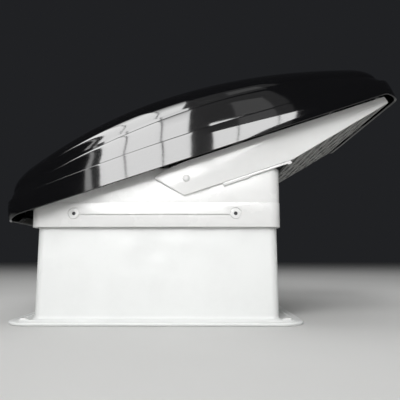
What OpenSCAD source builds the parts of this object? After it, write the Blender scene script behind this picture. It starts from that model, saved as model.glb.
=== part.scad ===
// Roof vent fan on a tall roof adapter: a tilting rain lid, a louvred rain shield that follows it,
// a twelve inch fan, an electric lid lift and an insect screen with its control panel.
// +Z is up, +X is the open front of the lid, and the lid's hinge is at -X.
// The origin is the centre of the mounting flange's underside.

/* [Roof adapter] */
// Width of the square mounting flange
flange_w = 424; // [410:1:440]
// Corner radius of the flange
flange_r = 35; // [25:1:40]
// Thickness of the flange's flat part
flange_t = 5.2; // [4:0.2:6]
// Width of the riser at its foot
riser_w = 357.6; // [355:0.2:359]
// How much narrower each side of the riser is at the top
riser_draft = 1.6; // [0.5:0.1:2]
// Wall thickness of the riser
riser_wall = 5; // [4:0.5:6]
// Distance from the flange to the foot of the fan housing
skirt_z = 138.7; // [132:0.1:142]

/* [Housing] */
// Width of the fan housing
housing_w = 368.8; // [366:0.2:371]
// Offset of the housing towards the hinge
housing_x = -1.8; // [-2.5:0.1:-1]
// Height of the front wall's top
housing_top_z = 225.7; // [220:0.1:228]
// Wall thickness of the housing
housing_wall = 3; // [2.5:0.1:3.2]

/* [Lid] */
// Angle to which the lid stands open
open_angle = 18.25; // [10:0.25:20]
// Half width of the lid at its lower edge
lid_half_w = 209.5; // [207:0.5:214]
// Length of the lid's side edge behind its origin
lid_rear = 9; // [6:0.5:12]
// Length of the lid's side edge ahead of its origin
lid_front = 593.5; // [585:0.5:600]
// Height of the dome above the side edge
lid_dome = 109; // [104:0.5:114]
// Wall thickness of the lid
lid_wall = 3; // [2.5:0.1:3.2]

/* [Fan] */
// Radius of the fan over its blade tips
fan_r = 150; // [145:0.5:151]
// Number of blades
blade_count = 10; // [6:1:12]
// Pitch of the blades
blade_pitch = 28; // [15:1:30]

/* [Lift drive] */
// Teeth that the sector gear would have on a full circle
sector_teeth = 40; // [40:4:40]
// Teeth on the drive pinion
pinion_teeth = 12; // [12:1:12]
// Size of the gear teeth
gear_module = 2; // [2:1:2]
// Length of the lift arms between centres
arm_l = 180; // [178:0.5:182]

/* [Hidden] */
$fn = 48;

// Colours
WHITE = "white";
SHADE = "gainsboro";
BLACK = "black";
STEEL = "silver";
DARK = "dimgray";

// Running clearance of a pin in its hole
run = 0.05;

// Roof adapter
riser_top = 170;
riser_r = 12;
rim_t = 1.6;
rim_w = 2.2;
rim_inset = 12;
roof_hole_r = 2.75;
roof_hole_near = 120;
roof_hole_far = 197;
corner_boss = 188;

// Housing levels
ledge_z = 174.5;
deck_z = 173;
deck_t = 3;
ledge_step = 0.6;
side_screw_z = 158.5;
side_screw_x = [-122, 116];
housing_half = housing_w / 2;

// Throat and duct
throat_r = 154.5;
throat_wall = 2.5;
throat_flange_r = 169;
throat_top = 179;
throat_low = 116;
duct_half = 168.5;
duct_wall = 2.5;
duct_low = 96;
duct_screw = 152;
strut_screw_r = 163.5;

// Fan motor
fan_z = 158;
hub_r = 35;
motor_r = 32;
motor_z = 186;
motor_h = 34;
shaft_r = 4;

// Lid line and its hinge, in the plane of the side view
lid_x0 = -208.23;
lid_z0 = 152.11;
hinge_x = -193;
hinge_z = 158;
hinge_y = 120;
hinge_s = (hinge_x - lid_x0) * cos(open_angle) + (hinge_z - lid_z0) * sin(open_angle);
hinge_h = -(hinge_x - lid_x0) * sin(open_angle) + (hinge_z - lid_z0) * cos(open_angle);
hinge_pin_r = 2.5;
knuckle_r = 5.6;

// Rain shield outline in the plane of the side view
shield_in = 185.4;
shield_t = 2.6;
pivot = [43.2, 210.2];
tip = [345.5, 324.2];
kink = [200, 237.8];
low_corner = [40.4, 184.6];
rear_tip = [-5.3, 210.4];
slat_angle = atan2(tip[1] - kink[1], tip[0] - kink[0]);
slat_length = norm(tip - kink);
rivet_r = 3;

// Louvres of the rain shield's panel
louver_rows = 7;
louver_banks = 5;
louver_first = 4;
louver_pitch = 23.4;
louver_side = 7;
panel_t = 2.4;
hood_length = 18.5;
hood_depth = 5.4;

// Lift shaft, arms and gears
lift_x = -70;
lift_z = 200;
arm_angle = 46.3;
arm_y = 62;
roller_y = 70;
roller_r = 8;
track_h = hinge_h + 86;
roller_s = 309.5;
sector_y = 162;
pinion_angle = 165;
gear_distance = gear_module * (sector_teeth + pinion_teeth) / 2;
pinion_x = lift_x + gear_distance * cos(pinion_angle);
pinion_z = lift_z + gear_distance * sin(pinion_angle);
bracket_y = 156;
bracket_screw_x = [-145, -68];
bracket_screw_y = 167;

// Slide bracket at the front of the lid: the slot's two ends, from open to closed
slot_open = [567, 3];
slot_shut = [559.3, 6.5];
slot_r = 4.3;
tip_pin = [566, 2];
tip_pin_r = 2;

// Screen and control panel
screen_z = 96;
screen_t = 4;
screen_front = 134;
screen_side = 164;
knob_x = [-150, 120];
knob_y = 152;
panel_x0 = 138;
panel_x1 = 165.5;
panel_half = 100;
panel_z = 84;
panel_top = 112;
button_pitch = 34;
button_w = 14;
button_d = 9;

// ---------- helpers ----------

function arc(cx, cy, r, a0, a1, n) =
    [for (i = [0:n]) let (a = a0 + (a1 - a0) * i / n) [cx + r * cos(a), cy + r * sin(a)]];

function round_rect(w, d, r, n = 8) = concat(
    arc(w / 2 - r, d / 2 - r, r, 0, 90, n), arc(-w / 2 + r, d / 2 - r, r, 90, 180, n),
    arc(-w / 2 + r, -d / 2 + r, r, 180, 270, n), arc(w / 2 - r, -d / 2 + r, r, 270, 360, n));

module prism(w, d, r, z0, z1) {
    translate([0, 0, z0]) linear_extrude(z1 - z0) polygon(round_rect(w, d, r));
}

// A straight cylinder along Y whose end is at y0
module rod_y(x, z, r, y0, y1) {
    translate([x, y0, z]) rotate([-90, 0, 0]) cylinder(r = r, h = y1 - y0);
}

// A profile in the X-Z plane, extruded along Y from y0 to y1
module slab_y(y0, y1) {
    translate([0, y1, 0]) rotate([90, 0, 0]) linear_extrude(y1 - y0) children();
}

module both_sides() {
    children();
    mirror([0, 1, 0]) children();
}

// Carries the lid's own frame (s along the side edge, y across, h up) to its open place
module in_lid() {
    translate([lid_x0, 0, lid_z0]) rotate([0, -open_angle, 0]) children();
}

function lid_to_row(p) = [
    lid_x0 + p[0] * cos(open_angle) - p[1] * sin(open_angle),
    lid_z0 + p[0] * sin(open_angle) + p[1] * cos(open_angle)];

// Pan-head screw along -Z, with the underside of its head at the origin
module screw(r, length, head_r, head_h) {
    cylinder(r = head_r, h = head_h);
    translate([0, 0, -length]) cylinder(r = r, h = length);
}

// ---------- roof adapter ----------

module riser_solid(w, r, z0, z1) {
    hull() {
        prism(w, w, r, z0, z0 + 0.1);
        prism(w - 2 * riser_draft, w - 2 * riser_draft, r, z1 - 0.1, z1);
    }
}

module roof_holes(z, h) {
    for (sx = [-1, 1], sy = [-1, 1], p = [[roof_hole_near, roof_hole_far], [roof_hole_far, roof_hole_near]])
        translate([sx * p[0], sy * p[1], z]) cylinder(r = roof_hole_r, h = h);
}

module roof_adapter() {
    color(WHITE) difference() {
        union() {
            prism(flange_w, flange_w, flange_r, 0, flange_t);
            difference() {
                prism(flange_w - 2 * rim_inset, flange_w - 2 * rim_inset, flange_r - rim_inset, 1, flange_t + rim_t);
                prism(flange_w - 2 * rim_inset - 2 * rim_w, flange_w - 2 * rim_inset - 2 * rim_w,
                    flange_r - rim_inset - rim_w, 0, 20);
            }
            for (sx = [-1, 1], sy = [-1, 1])
                translate([sx * corner_boss, sy * corner_boss, 1]) cylinder(r = 8, h = flange_t + rim_t - 1);
            riser_solid(riser_w, riser_r, 1, riser_top);
        }
        riser_solid(riser_w - 2 * riser_wall, riser_r - riser_wall, -1, riser_top + 1);
        roof_holes(-1, 20);
        for (sx = [-1, 1], sy = [-1, 1])
            translate([sx * corner_boss, sy * corner_boss, -1]) cylinder(r = 2.3, h = 20);
        for (x = side_screw_x, sy = [-1, 1])
            rod_y(x, side_screw_z, 2 + run, sy > 0 ? 160 : -190, sy > 0 ? 190 : -160);
    }
}

module flange_screws() {
    color(WHITE) for (sx = [-1, 1], sy = [-1, 1])
        translate([sx * corner_boss, sy * corner_boss, flange_t + rim_t]) screw(2.2, 6, 5.5, 2.4);
}

module adapter_gasket() {
    color(DARK) difference() {
        prism(355, 355, 11, riser_top, deck_z);
        prism(342, 342, 5, riser_top - 1, deck_z + 1);
        for (sx = [-1, 1], sy = [-1, 1])
            translate([sx * duct_screw, sy * duct_screw, riser_top - 1]) cylinder(r = 3, h = 6);
    }
}

// ---------- housing ----------

// The rim slopes down to the hinge so that the closed lid clears it
module rim_cut() {
    slab_y(-250, 250) polygon([
        [-250, 178], [housing_x - housing_half, 181], [-150, 190], [-40, 222],
        [0, housing_top_z], [250, housing_top_z], [250, 400], [-250, 400]]);
}

module deck_holes() {
    cylinder(r = throat_r + throat_wall + 1, h = 400);
    for (a = [45:90:315]) rotate(a) translate([strut_screw_r, 0, 0]) cylinder(r = 2 + run, h = 400);
    for (sx = [-1, 1], sy = [-1, 1]) translate([sx * duct_screw, sy * duct_screw, 0]) cylinder(r = 2 + run, h = 400);
    for (x = bracket_screw_x, sy = [-1, 1])
        translate([x, sy * bracket_screw_y, 0]) cylinder(r = 2 + run, h = 400);
}

module side_boss(x) {
    both_sides() {
        rod_y(x, side_screw_z, 8.5, 178, housing_half + 0.2);
    }
}

module upper_housing() {
    inner = housing_w - 2 * housing_wall;
    color(WHITE) difference() {
        union() {
            difference() {
                translate([housing_x, 0, 0]) union() {
                    prism(housing_w, housing_w, 16, skirt_z, ledge_z);
                    prism(housing_w - 2 * ledge_step, housing_w - 2 * ledge_step, 16 - ledge_step, ledge_z, 240);
                }
                translate([housing_x, 0, 0]) union() {
                    prism(inner, inner, 13, skirt_z - 1, deck_z);
                    prism(inner, inner, 13, deck_z + deck_t, 241);
                }
            }
            for (x = side_screw_x) side_boss(x);
        }
        rim_cut();
        deck_holes();
        for (x = side_screw_x) both_sides() {
            rod_y(x, side_screw_z, 2 + run, 170, 200);
            rod_y(x, side_screw_z, 3.4, 181, 200);
        }
        // Thin groove that joins the two screw bosses
        both_sides() translate([side_screw_x[0] + 8, housing_half - 0.6, side_screw_z - 2.1])
            cube([side_screw_x[1] - side_screw_x[0] - 16, 5, 1.2]);
        both_sides() rod_y(pivot[0], pivot[1], rivet_r, 170, 200);
        for (sy = [-1, 1], dy = [-20, 20]) translate([-200, sy * hinge_y + dy, hinge_z])
            rotate([0, 90, 0]) cylinder(r = 1.5, h = 30);
    }
}

module housing_side_screws() {
    color(STEEL) for (x = side_screw_x) both_sides()
        translate([x, 181, side_screw_z]) rotate([-90, 0, 0]) screw(2, 10, 3.3, 1.6);
}

module throat_ring() {
    color(SHADE) difference() {
        union() {
            translate([0, 0, throat_low]) cylinder(r = throat_r + throat_wall, h = throat_top - throat_low, $fn = 128);
            translate([0, 0, deck_z + deck_t]) cylinder(r = throat_flange_r, h = throat_top - deck_z - deck_t, $fn = 128);
        }
        translate([0, 0, throat_low - 1]) cylinder(r = throat_r, h = 100, $fn = 128);
        for (a = [45:90:315]) rotate(a) translate([strut_screw_r, 0, 100]) cylinder(r = 2 + run, h = 100);
    }
}

module strut_screws() {
    color(STEEL) for (a = [45:90:315]) rotate(a)
        translate([strut_screw_r, 0, motor_z]) screw(2, 15, 4, 2.2);
}

module base_duct() {
    w = 2 * duct_half;
    color(SHADE) difference() {
        union() {
            difference() {
                prism(w, w, 6, duct_low, deck_z);
                prism(w - 2 * duct_wall, w - 2 * duct_wall, 4, duct_low - 1, deck_z + 1);
            }
            // Web between the square duct and the round throat
            prism(w - 1, w - 1, 6, 150, 152.5);
            for (sx = [-1, 1], sy = [-1, 1])
                translate([sx * duct_screw, sy * duct_screw, 151]) cylinder(r = 6, h = deck_z - 151);
            for (x = knob_x, sy = [-1, 1]) {
                translate([x, sy * knob_y, screen_z + screen_t + 0.4]) cylinder(r = 7, h = 14);
                translate([x - 3, sy > 0 ? knob_y : -duct_half + 1, screen_z + screen_t + 0.4])
                    cube([6, duct_half - knob_y - 1, 14]);
            }
        }
        translate([0, 0, 100]) cylinder(r = throat_r + throat_wall + 0.3, h = 70, $fn = 128);
        for (sx = [-1, 1], sy = [-1, 1])
            translate([sx * duct_screw, sy * duct_screw, 155]) cylinder(r = 2 + run, h = 30);
        for (x = knob_x, sy = [-1, 1])
            translate([x, sy * knob_y, 90]) cylinder(r = 3 + run, h = 21);
    }
}

module deck_screws() {
    color(STEEL) {
        for (sx = [-1, 1], sy = [-1, 1])
            translate([sx * duct_screw, sy * duct_screw, deck_z + deck_t]) screw(2, 17, 4, 2.2);
        for (x = bracket_screw_x, sy = [-1, 1])
            translate([x, sy * bracket_screw_y, deck_z + deck_t + 3]) screw(2, 5.8, 4, 2.2);
    }
}

// ---------- fan motor ----------

module motor_strut() {
    color(DARK) difference() {
        union() {
            translate([0, 0, 180]) cylinder(r = 38, h = motor_z - 180);
            for (a = [45:90:315]) rotate(a) {
                translate([30, -7, 180]) cube([139 - 0.5, 14, motor_z - 180]);
                translate([158, -7, throat_top]) cube([10.5, 14, 2]);
            }
        }
        translate([0, 0, 170]) cylinder(r = 9, h = 30);
        for (a = [45:90:315]) rotate(a) translate([strut_screw_r, 0, 170]) cylinder(r = 2 + run, h = 30);
        for (a = [0:120:240]) rotate(a) translate([22, 0, 170]) cylinder(r = 1.6, h = 30);
    }
}

module motor_can() {
    color(STEEL) difference() {
        translate([0, 0, motor_z]) cylinder(r = motor_r, h = motor_h, $fn = 64);
        translate([0, 0, motor_z - 1]) cylinder(r = shaft_r + run, h = 30);
        for (a = [0:120:240]) rotate(a) translate([22, 0, motor_z - 1]) cylinder(r = 1.55, h = 9);
    }
}

module motor_cap() {
    color(DARK) translate([0, 0, motor_z + motor_h]) rotate_extrude($fn = 64)
        polygon([[0, 0], [motor_r - 1, 0], [motor_r - 1, 3], [motor_r - 5, 7], [0, 8]]);
}

module motor_screws() {
    color(STEEL) for (a = [0:120:240]) rotate(a)
        translate([22, 0, 180]) rotate([180, 0, 0]) screw(1.5, 12, 2.8, 1.6);
}

module motor_shaft() {
    color(STEEL) translate([0, 0, 143]) cylinder(r = shaft_r, h = 66);
}

module fan_blades() {
    color(SHADE) difference() {
        union() {
            translate([0, 0, 149]) cylinder(r = hub_r, h = 22);
            intersection() {
                translate([0, 0, 120]) cylinder(r = fan_r, h = 80, $fn = 128);
                for (i = [0:blade_count - 1]) rotate(i * 360 / blade_count)
                    translate([0, 0, fan_z]) rotate([blade_pitch, 0, 0]) translate([0, 0, -1.1])
                        linear_extrude(2.2) polygon([[32, -15], [90, -32], [152, -35], [152, 29], [90, 22], [32, 14]]);
            }
        }
        translate([0, 0, 140]) cylinder(r = shaft_r, h = 60);
        translate([0, 0, 153]) difference() {
            cylinder(r = hub_r - 3, h = 30);
            cylinder(r = 8, h = 30);
        }
    }
}

module hub_clip() {
    color(STEEL) difference() {
        translate([0, 0, 144.5]) cylinder(r = 8, h = 4.5);
        translate([0, 0, 140]) cylinder(r = shaft_r, h = 12);
    }
}

// ---------- rear hinge ----------

module hinge_brackets() {
    face = housing_x - housing_half;
    color(WHITE) for (sy = [-1, 1], side = [-1, 1]) {
        y_mid = sy * hinge_y + side * 11.5;
        difference() {
            union() {
                rod_y(hinge_x, hinge_z, knuckle_r, y_mid - 3.5, y_mid + 3.5);
                translate([hinge_x, y_mid - 3.5, hinge_z - knuckle_r]) cube([face - hinge_x, 7, 2 * knuckle_r]);
                translate([face - 2, sy * hinge_y + (side > 0 ? 8 : -28), hinge_z - 9]) cube([2, 20, 18]);
            }
            rod_y(hinge_x, hinge_z, hinge_pin_r + run, y_mid - 10, y_mid + 10);
            translate([face - 10, sy * hinge_y + side * 20, hinge_z]) rotate([0, 90, 0]) cylinder(r = 1.5, h = 30);
        }
    }
}

module hinge_bracket_screws() {
    color(STEEL) for (sy = [-1, 1], dy = [-20, 20])
        translate([housing_x - housing_half - 2, sy * hinge_y + dy, hinge_z]) rotate([0, -90, 0]) screw(1.5, 6, 2.8, 1.6);
}

module hinge_pins() {
    color(STEEL) for (sy = [-1, 1])
        rod_y(hinge_x, hinge_z, hinge_pin_r, sy * hinge_y - 16, sy * hinge_y + 16);
}

module lid_hinge_leaves() {
    color(BLACK) in_lid() for (sy = [-1, 1]) difference() {
        union() {
            rod_y(hinge_s, hinge_h, knuckle_r, sy * hinge_y - 7.5, sy * hinge_y + 7.5);
            slab_y(sy * hinge_y - 7.5, sy * hinge_y + 7.5) polygon([
                [hinge_s - 1, hinge_h + knuckle_r], [hinge_s - knuckle_r + 1, hinge_h - 2],
                [-3.3, 6], [0.9, 23], [4, 24.5], [8, 12]]);
        }
        rod_y(hinge_s, hinge_h, hinge_pin_r + run, sy * hinge_y - 20, sy * hinge_y + 20);
        for (dy = [-4, 4]) translate([-6, sy * hinge_y + dy, 19]) rotate([0, 90, 0]) cylinder(r = 1.2, h = 30);
    }
}

module lid_hinge_screws() {
    color(STEEL) in_lid() for (sy = [-1, 1], dy = [-4, 4])
        translate([6.7, sy * hinge_y + dy, 19]) rotate([0, 90, 0]) screw(1.15, 10.2, 2.4, 1.4);
}

// ---------- lid ----------

// Height that falls off as a parabola from its peak to each end
function bow(s, s0, s1, peak, h0, h1, top) =
    let (half = s < peak ? peak - s0 : s1 - peak, end = s < peak ? h0 : h1, p = (s - peak) / half)
    end + (top - end) * (1 - p * p);

function edge_h(s) = -3.4 * max(0, 1 - (s + lid_rear) / 20) - 11 * max(0, 1 - (lid_front - s) / 20);
function line_1(s) = bow(s, -lid_rear, lid_front, 270, 23, 21, 36);
function line_2(s) = bow(s, -lid_rear, lid_front, 315, 29, 23, 71.5);
function shoulder(s) = bow(s, -lid_rear, lid_front, 265, 50.4, 45, lid_dome);

// Half of a ring round the lid, from the middle of the rear end to the middle of the front end.
// The ends bulge by e at the middle.
function half_ring(s0, s1, b, r, e) = concat(
    [for (i = [0:3]) let (y = (b - r) * i / 4) [s0 - e * (1 - y * y / b / b), y]],
    [for (i = [0:4]) let (a = 90 * i / 5, y = b - r + r * sin(a)) [s0 + r - r * cos(a) - e * (1 - y * y / b / b), y]],
    [for (i = [0:18]) [s0 + r + (s1 - s0 - 2 * r) * i / 18, b]],
    [for (i = [1:5]) let (a = 90 * i / 5, y = b - r + r * cos(a)) [s1 - r + r * sin(a) + e * (1 - y * y / b / b), y]],
    [for (i = [1:4]) let (y = (b - r) * (4 - i) / 4) [s1 + e * (1 - y * y / b / b), y]]);

function height(kind, s, drop) =
    kind < 0 ? edge_h(s) :
    kind < 1 ? edge_h(s) + kind * (line_1(s) - edge_h(s)) - drop :
    kind < 2 ? line_1(s) + (kind - 1) * (line_2(s) - line_1(s)) - drop :
    kind <= 3 ? line_2(s) + (kind - 2) * (shoulder(s) - line_2(s)) - drop :
    shoulder(s) + (kind - 3) * 9 * (shoulder(s) - 45) / (lid_dome - 45) - drop;

function ring(spec) =
    let (half = half_ring(spec[0] - lid_rear, lid_front - spec[1], lid_half_w - spec[2], spec[3], spec[6]), m = len(half))
    [for (i = [0:2 * m - 3]) let (
        mirrored = i >= m,
        p = mirrored ? half[2 * m - 2 - i] : half[i])
        [p[0], mirrored ? -p[1] : p[1], height(spec[4], p[0], spec[5])]];

// Each ring: inset at the rear, inset at the front, inset at the sides, corner radius, level, drop, end bulge.
// Level 0 is the lower edge, 1 and 2 the two steps, 3 the shoulder and 4 the crown.
OUTER = [
    [0, 0, 0, 30, -1, 0, 0], [-0.6, -0.6, -0.8, 30, 0.4, 0, 0], [4, 3.5, 3.5, 30, 1, 0, 0],
    [6.5, 6, 6.4, 30, 1.02, 0, 0], [6.9, 6.4, 8.8, 30, 1.5, 0, 0], [9, 8, 13.2, 30, 1.999, 0, 0],
    [11.5, 10.5, 15.7, 30, 2.03, 0, 0], [12, 11, 18.2, 32, 2.38, 0, 0], [13, 12, 24.3, 36, 2.7, 0, 0],
    [15, 13, 34.4, 40, 2.9, 0, 0], [19, 15, 49.5, 44, 3, 0, 1], [50, 45, 90, 60, 3.6, 0, 8],
    [110, 110, 150, 50, 4, 0, 30]];
function inner(spec, drop) = [
    spec[0] + lid_wall, spec[1] + lid_wall, spec[2] + lid_wall, spec[3] - lid_wall, spec[4], drop, spec[6]];
INNER = [
    inner(OUTER[0], 0), inner(OUTER[3], 0), inner(OUTER[6], 0), inner(OUTER[7], 1), inner(OUTER[8], 2),
    inner(OUTER[9], 2.6), inner(OUTER[10], 3), inner(OUTER[11], 3), inner(OUTER[12], 3)];

module lid_shell() {
    rings = concat([for (k = [len(OUTER) - 1:-1:0]) ring(OUTER[k])], [for (spec = INNER) ring(spec)]);
    n = len(rings[0]);
    m = n / 2 + 1;
    last = (len(rings) - 1) * n;
    walls = [for (k = [0:len(rings) - 2], i = [0:n - 1]) let (
        a = k * n + i, b = k * n + (i + 1) % n, c = b + n, d = a + n) each [[a, b, c], [a, c, d]]];
    function cap(base) = [for (i = [0:m - 2]) let (
        a = base + i, b = base + i + 1, c = base + (n - i - 1) % n, d = base + (n - i) % n)
        each (i == 0 ? [[a, c, b]] : i == m - 2 ? [[a, d, b]] : [[a, c, b], [a, d, c]])];
    flip = [for (f = cap(last)) [f[2], f[1], f[0]]];
    color(BLACK) in_lid() polyhedron(points = [for (r = rings) each r], faces = concat(walls, cap(0), flip));
}

module lift_tracks() {
    color(DARK) in_lid() both_sides() difference() {
        union() {
            translate([roller_s - 21, 65, track_h - 12.3]) cube([42, 15, 24.6]);
            translate([roller_s - 21, 77, track_h]) cube([42, 3, 26.2]);
        }
        translate([roller_s - 22, 60, track_h - 9.3]) cube([44, 17, 18.6]);
    }
}

module lid_front_bracket() {
    color(BLACK) in_lid() difference() {
        slab_y(-42, 42) polygon([[586.8, -8], [590, -8], [584.9, 18], [581.7, 18]]);
        for (y = [-29, 29]) translate([lid_front - 20, y, -2]) rotate([0, 90, 0]) cylinder(r = 2, h = 30);
    }
}

module lid_front_screws() {
    color(STEEL) in_lid() for (y = [-29, 29])
        translate([584.6, y, -2]) rotate([0, -90, 0]) screw(1.95, 6.7, 4, 2.4);
}

module slot_cut() {
    d = slot_shut - slot_open;
    translate([slot_open[0], 150, slot_open[1]]) rotate([0, -atan2(d[1], d[0]), 0]) {
        rotate([-90, 0, 0]) cylinder(r = slot_r, h = 60);
        translate([norm(d), 0, 0]) rotate([-90, 0, 0]) cylinder(r = slot_r, h = 60);
        translate([0, 0, -slot_r]) cube([norm(d), 60, 2 * slot_r]);
    }
}

module lid_slide_brackets() {
    color(BLACK) in_lid() both_sides() difference() {
        slab_y(179.5, 182.5) polygon([
            [550, 2], [556, -4], [572, -4], [584.5, 8], [584.5, 18], [560, 18], [550, 12]]);
        slot_cut();
    }
}

// ---------- rain shield ----------

module shield_side() {
    top_rear = lid_to_row([229, -2]);
    top_front = lid_to_row([577, 1]);
    color(WHITE) difference() {
        slab_y(shield_in, shield_in + shield_t) polygon([
            rear_tip, low_corner, kink, tip, top_front, lid_to_row([262, 1]), top_rear]);
        rod_y(pivot[0], pivot[1], rivet_r + run, 170, 200);
    }
}

module shield_side_left() {
    mirror([0, 1, 0]) shield_side();
}

module shield_side_right() {
    shield_side();
}

module shield_rivets() {
    color(WHITE) both_sides() {
        rod_y(pivot[0], pivot[1], rivet_r, housing_half - 6, shield_in + shield_t + 0.3);
        rod_y(pivot[0], pivot[1], 6, housing_half - ledge_step, shield_in - 0.3);
        rod_y(pivot[0], pivot[1], 6, housing_half - 5.6, housing_half - housing_wall);
        translate([pivot[0], shield_in + shield_t + 0.3, pivot[1]]) rotate([-90, 0, 0])
            rotate_extrude() polygon([[0, 0], [5.2, 0], [4.6, 1.2], [3, 2.1], [0, 2.4]]);
    }
}

// Panel frame: x runs up the slope from the kink, z is the panel's outer normal
module in_panel() {
    translate([kink[0], 0, kink[1]]) rotate([0, -slat_angle, 0]) children();
}

// One louvre: a thin sloping hood on the inside of the panel, open at its lower end
module louver_hood(u, y, w) {
    skin = 1;
    low = panel_t - 0.4;
    difference() {
        slab_y(y, y + w) polygon([
            [u, low], [u, hood_depth], [u + hood_length, panel_t], [u + hood_length, low]]);
        slab_y(y + skin, y + w - skin) polygon([
            [u - 1, low - 1], [u - 1, hood_depth - skin], [u, hood_depth - skin],
            [u + hood_length - 6, low + 0.2], [u + hood_length - 6, low - 1]]);
    }
}

module louver_panel() {
    bank_pitch = 2 * shield_in / louver_banks;
    w = bank_pitch - 2 * louver_side;
    color(SHADE) in_panel() {
        for (i = [0:louver_rows - 1], k = [0:louver_banks - 1])
            louver_hood(louver_first + louver_pitch * i, -shield_in + bank_pitch * k + louver_side, w);
        difference() {
            translate([0, -shield_in, 0]) cube([slat_length, 2 * shield_in, panel_t]);
            for (i = [0:louver_rows - 1], k = [0:louver_banks - 1])
                translate([louver_first + louver_pitch * i, -shield_in + bank_pitch * k + louver_side + 1, -1])
                    cube([hood_length - 6, w - 2, 5]);
        }
    }
}

module shield_rails() {
    edge = (kink - low_corner) / norm(kink - low_corner);
    down = [edge[1], -edge[0]];
    a = low_corner + edge * 60;
    b = low_corner + edge * norm(kink - low_corner) - edge * 2;
    color(WHITE) both_sides() slab_y(shield_in - 0.4, shield_in + 1.8)
        polygon([a, a + down * 5, b + down * 5, b]);
}

module shield_tip_pins() {
    p = lid_to_row(tip_pin);
    color(STEEL) both_sides() {
        rod_y(p[0], p[1], tip_pin_r, 178, shield_in);
        rod_y(p[0], p[1], 3.4, 183.2, shield_in);
    }
}

// ---------- lid lift ----------

function inv(a) = tan(a) * 180 / PI - a;

// One tooth's flanks for a spur gear of z teeth and 25 degree pressure angle, thinned for backlash
function gear_points(z, m, thin) =
    let (rp = m * z / 2, ra = rp + 0.9 * m, rb = rp * cos(25), rr = rp - 1.2 * m,
        half = (90 / z) - thin / rp * 180 / PI + inv(25), r0 = max(rr, rb))
    [for (k = [0:z - 1]) each concat(
        [[rr, k * 360 / z - half]],
        [for (i = [0:4]) let (r = r0 + (ra - r0) * i / 4) [r, k * 360 / z - half + inv(acos(rb / r))]],
        [for (i = [4:-1:0]) let (r = r0 + (ra - r0) * i / 4) [r, k * 360 / z + half - inv(acos(rb / r))]],
        [[rr, k * 360 / z + half]])];

module gear_2d(z, m, thin) {
    polygon([for (p = gear_points(z, m, thin)) [p[0] * cos(p[1]), p[0] * sin(p[1])]]);
}

module at_lift() {
    translate([lift_x, 0, lift_z]) children();
}

module lift_bracket(has_motor) {
    color(DARK) difference() {
        union() {
            slab_y(bracket_y, bracket_y + 3) polygon(has_motor ?
                [[-152, 176], [-66, 176], [-58, 186], [-58, 206], [-64, 211], [-96, 216], [-104, 229],
                    [-138, 229], [-142, 222], [-152, 200]] :
                [[-152, 176], [-66, 176], [-58, 186], [-58, 206], [-64, 211], [-82, 211], [-152, 186]]);
            translate([-152, bracket_y + 3, 176]) cube([90, 16, 3]);
        }
        rod_y(lift_x, lift_z, 6, 150, 170);
        for (x = bracket_screw_x) translate([x, bracket_screw_y, 170]) cylinder(r = 2 + run, h = 20);
        if (has_motor) rod_y(pinion_x, pinion_z, 5, 150, 170);
    }
}

module lift_bracket_right() {
    lift_bracket(true);
}

module lift_bracket_left() {
    mirror([0, 1, 0]) lift_bracket(false);
}

module lift_bushes() {
    color(SHADE) both_sides() difference() {
        union() {
            rod_y(lift_x, lift_z, 6, bracket_y, bracket_y + 3);
            rod_y(lift_x, lift_z, 8, bracket_y - 1.5, bracket_y);
        }
        rod_y(lift_x, lift_z, 4 + run, 150, 170);
    }
}

module lift_gearbox() {
    color(DARK) difference() {
        slab_y(bracket_y - 22, bracket_y) polygon([
            for (p = round_rect(32, 28, 5)) [p[0] + pinion_x, p[1] + pinion_z]]);
        rod_y(pinion_x, pinion_z, 3 + run, bracket_y - 16, 170);
    }
}

module lift_motor() {
    color(STEEL) {
        rod_y(pinion_x, pinion_z, 12.5, bracket_y - 66, bracket_y - 22);
        rod_y(pinion_x, pinion_z, 4, bracket_y - 69, bracket_y - 66);
    }
}

module lift_pinion() {
    color(SHADE) {
        translate([pinion_x, sector_y + 6, pinion_z]) rotate([90, 0, 0]) linear_extrude(6)
            gear_2d(pinion_teeth, gear_module, 0.12);
        rod_y(pinion_x, pinion_z, 3, bracket_y - 15, sector_y);
    }
}

module lift_shaft() {
    color(STEEL) rod_y(lift_x, lift_z, 4, -bracket_y - 8, sector_y + 8);
}

module lift_arm() {
    color(STEEL) difference() {
        union() {
            at_lift() rotate([0, -arm_angle, 0]) {
                rod_y(0, 0, 9, arm_y - 2, arm_y + 2);
                translate([0, arm_y - 2, -6]) cube([arm_l, 4, 12]);
                rod_y(arm_l, 0, 7, arm_y - 2, arm_y + 2);
                rod_y(arm_l, 0, 3, arm_y, roller_y + 5);
            }
            rod_y(lift_x, lift_z, 8, arm_y - 10, arm_y);
        }
        rod_y(lift_x, lift_z, 4, 0, 100);
    }
}

module lift_arm_right() {
    lift_arm();
}

module lift_arm_left() {
    mirror([0, 1, 0]) lift_arm();
}

module roller() {
    color(WHITE) at_lift() rotate([0, -arm_angle, 0]) difference() {
        rod_y(arm_l, 0, roller_r, roller_y - 4, roller_y + 4);
        rod_y(arm_l, 0, 3 + run, 50, 90);
    }
}

module roller_right() {
    roller();
}

module roller_left() {
    mirror([0, 1, 0]) roller();
}

module sector_gear() {
    color(SHADE) difference() {
        union() {
            translate([lift_x, sector_y + 6, lift_z]) rotate([90, 0, 0]) linear_extrude(6) intersection() {
                rotate(pinion_angle) gear_2d(sector_teeth, gear_module, 0.12);
                polygon(concat([[8, 0]], arc(0, 0, 60, 151.5, 205.5, 12)));
            }
            rod_y(lift_x, lift_z, 10, sector_y, sector_y + 8);
        }
        rod_y(lift_x, lift_z, 4, sector_y - 1, sector_y + 20);
    }
}

// ---------- screen and controls ----------

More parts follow.
